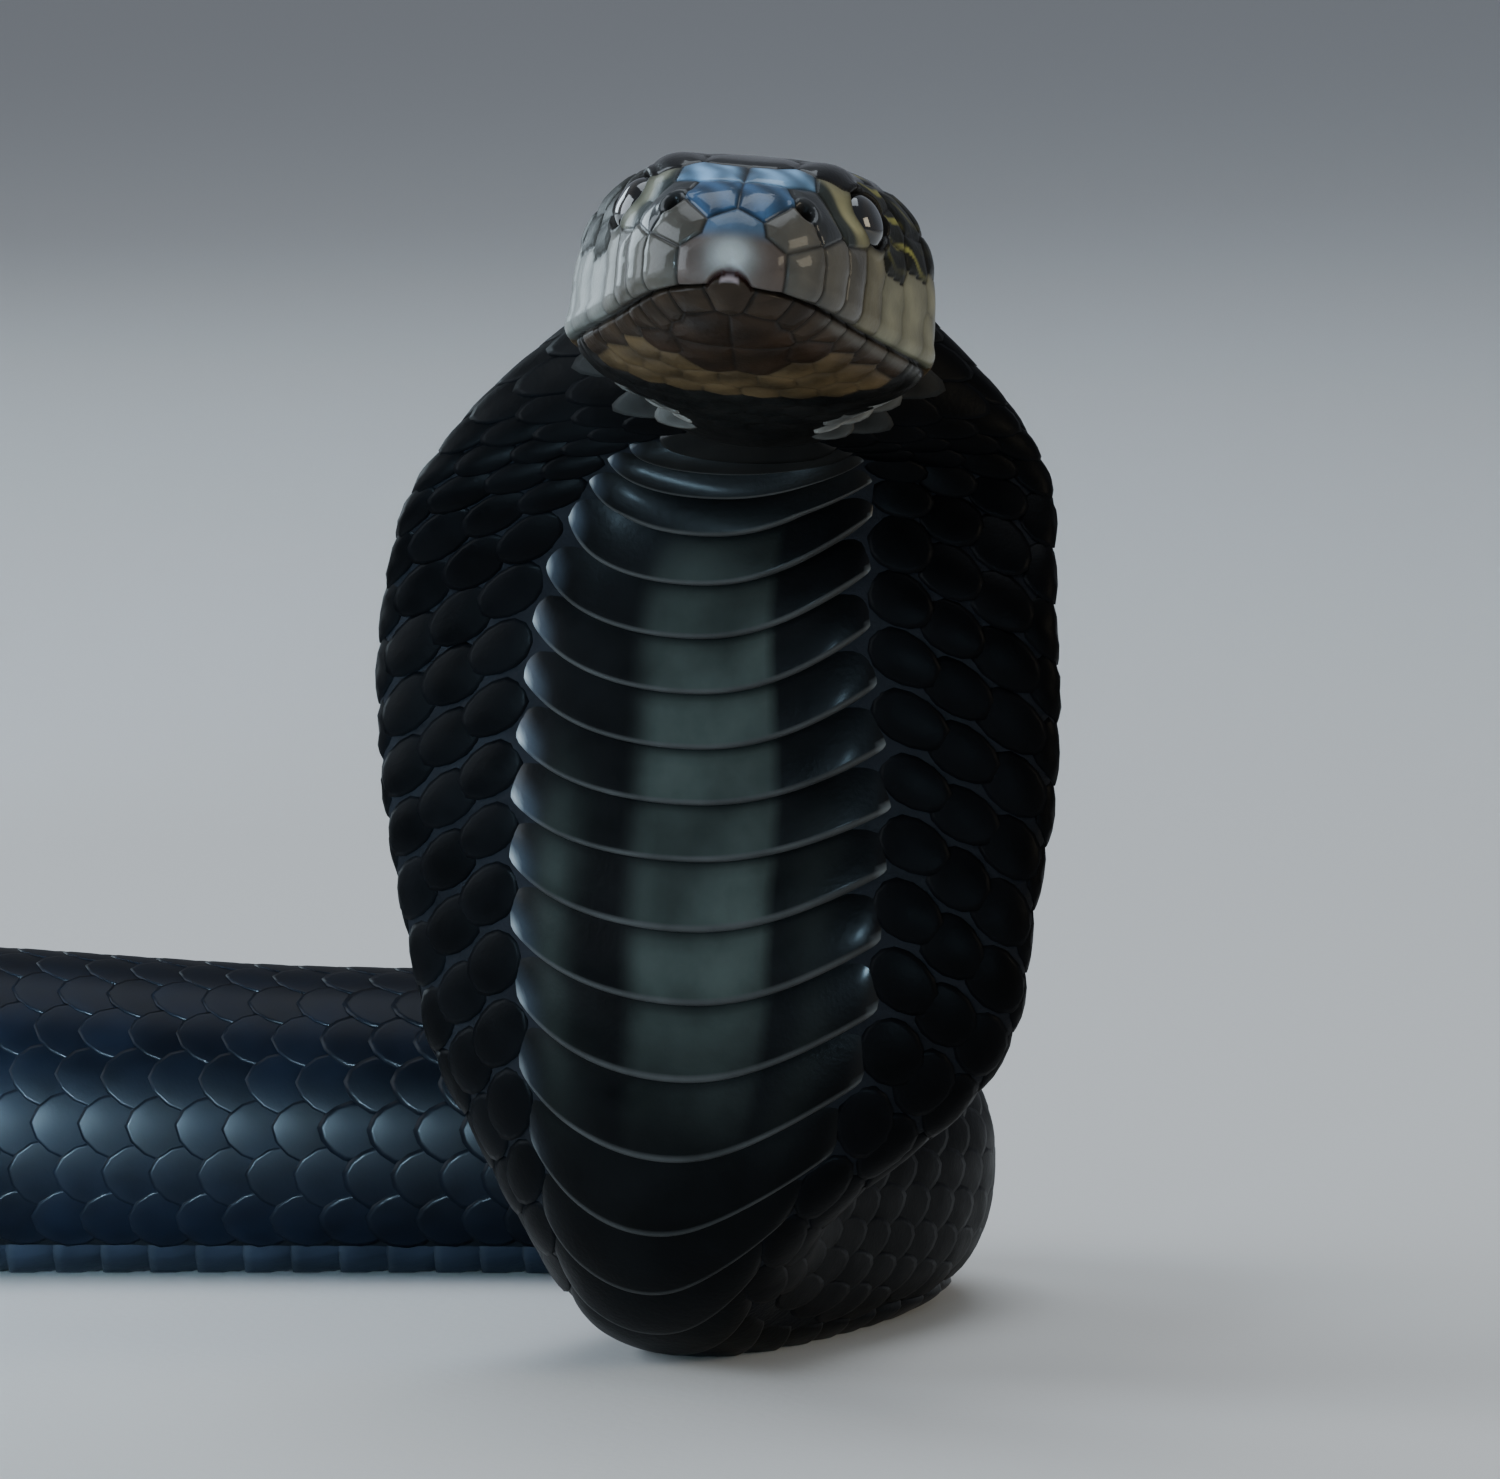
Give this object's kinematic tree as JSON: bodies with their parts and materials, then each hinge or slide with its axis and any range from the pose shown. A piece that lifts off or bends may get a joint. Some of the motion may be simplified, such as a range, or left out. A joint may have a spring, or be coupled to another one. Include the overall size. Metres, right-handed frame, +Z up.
{
  "type": "equatorial spitting cobra model",
  "caption": "Still, life-size black spitting cobra, reared with its hood spread and its body laid in bends on the floor.",
  "frame": {"origin": "on the floor, on the flat of the belly just behind the reared part", "axes": "+Z up; the snake faces -Y and its left side is towards +X"},
  "size_m": [0.2992, 0.3363, 0.1033],
  "materials": {
    "head_skin": "satin, dark grey scales paler on the cheeks",
    "chin_skin": "satin, brown chin shields",
    "eye": "polished, black",
    "body_skin": "glossy black with a blue sheen, pale patches on the hood's belly plates"
  },
  "bodies": {
    "root": {"head": "head_skin", "lower_jaw": "chin_skin", "eye_left": "eye", "eye_right": "eye", "nape": "body_skin", "hood": "body_skin", "lower_neck": "body_skin", "trunk_1": "body_skin", "trunk_2": "body_skin", "trunk_3": "body_skin", "trunk_4": "body_skin", "trunk_5": "body_skin", "trunk_6": "body_skin", "trunk_7": "body_skin", "trunk_8": "body_skin", "tail_base": "body_skin", "tail_tip": "body_skin"}
  },
  "joints": []
}
